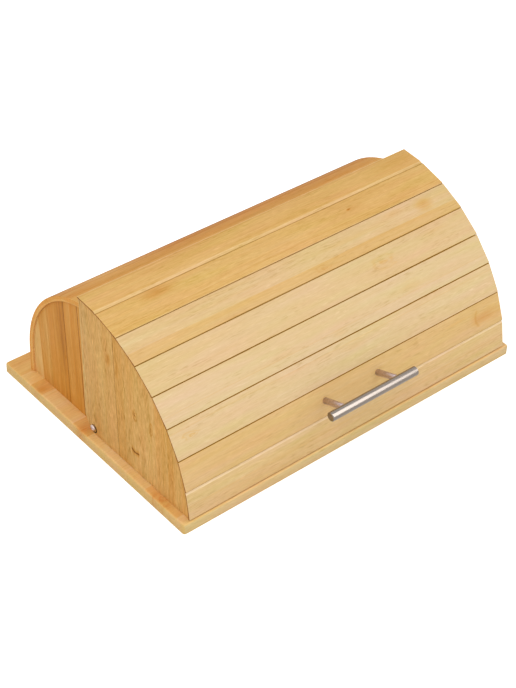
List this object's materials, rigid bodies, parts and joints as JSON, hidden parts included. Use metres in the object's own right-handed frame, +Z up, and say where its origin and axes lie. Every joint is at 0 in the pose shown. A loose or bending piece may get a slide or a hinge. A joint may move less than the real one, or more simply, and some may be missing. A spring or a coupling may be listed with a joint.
{
  "type": "bread box",
  "caption": "Bamboo bread box: a base board with fixed sides and a bent rear shell, and a curved slatted lid that swings up on side pivots, with a steel bar handle.",
  "frame": {"origin": "centre of the base board's underside, on the surface the box stands on", "axes": "+X to the right along the board's length, +Y to the rear, +Z up; the handle is on the -Y side"},
  "size_m": [0.4, 0.2951, 0.1568],
  "materials": {
    "bamboo_base": "clear satin lacquer over bamboo",
    "bamboo_shell": "clear satin lacquer over bamboo",
    "bamboo_fixed_side": "clear satin lacquer over bamboo",
    "bamboo_lid_side": "clear satin lacquer over bamboo",
    "bamboo_slat_1": "clear satin lacquer over bamboo",
    "bamboo_slat_2": "clear satin lacquer over bamboo",
    "bamboo_slat_3": "clear satin lacquer over bamboo",
    "bamboo_slat_4": "clear satin lacquer over bamboo",
    "bamboo_slat_5": "clear satin lacquer over bamboo",
    "bamboo_slat_6": "clear satin lacquer over bamboo",
    "bamboo_slat_7": "clear satin lacquer over bamboo",
    "bamboo_slat_8": "clear satin lacquer over bamboo",
    "steel_bar": "brushed",
    "steel_post": "brushed",
    "steel_screw": "bright zinc",
    "brass_insert": "turned",
    "nylon_washer": "plain"
  },
  "bodies": {
    "box": {"base_board": "bamboo_base", "base_screw_left_1": "steel_screw", "base_screw_left_2": "steel_screw", "base_screw_left_3": "steel_screw", "base_screw_right_1": "steel_screw", "base_screw_right_2": "steel_screw", "base_screw_right_3": "steel_screw", "fixed_side_left": "bamboo_fixed_side", "fixed_side_right": "bamboo_fixed_side", "pivot_insert_left": "brass_insert", "pivot_insert_right": "brass_insert", "pivot_screw_left": "steel_screw", "pivot_screw_right": "steel_screw", "pivot_washer_left": "nylon_washer", "pivot_washer_right": "nylon_washer", "rear_shell": "bamboo_shell"},
    "lid": {"handle_bar": "steel_bar", "handle_post_left": "steel_post", "handle_post_right": "steel_post", "handle_screw_left": "steel_screw", "handle_screw_right": "steel_screw", "lid_side_left": "bamboo_lid_side", "lid_side_right": "bamboo_lid_side", "lid_slat_1": "bamboo_slat_1", "lid_slat_2": "bamboo_slat_2", "lid_slat_3": "bamboo_slat_3", "lid_slat_4": "bamboo_slat_4", "lid_slat_5": "bamboo_slat_5", "lid_slat_6": "bamboo_slat_6", "lid_slat_7": "bamboo_slat_7", "lid_slat_8": "bamboo_slat_8"}
  },
  "joints": [
    {"name": "lid_swing", "type": "hinge", "parent": "box", "child": "lid", "pos_m": [0, 0.00546, 0.017], "axis": [-1, 0, 0], "range_deg": [0, 60]}
  ]
}
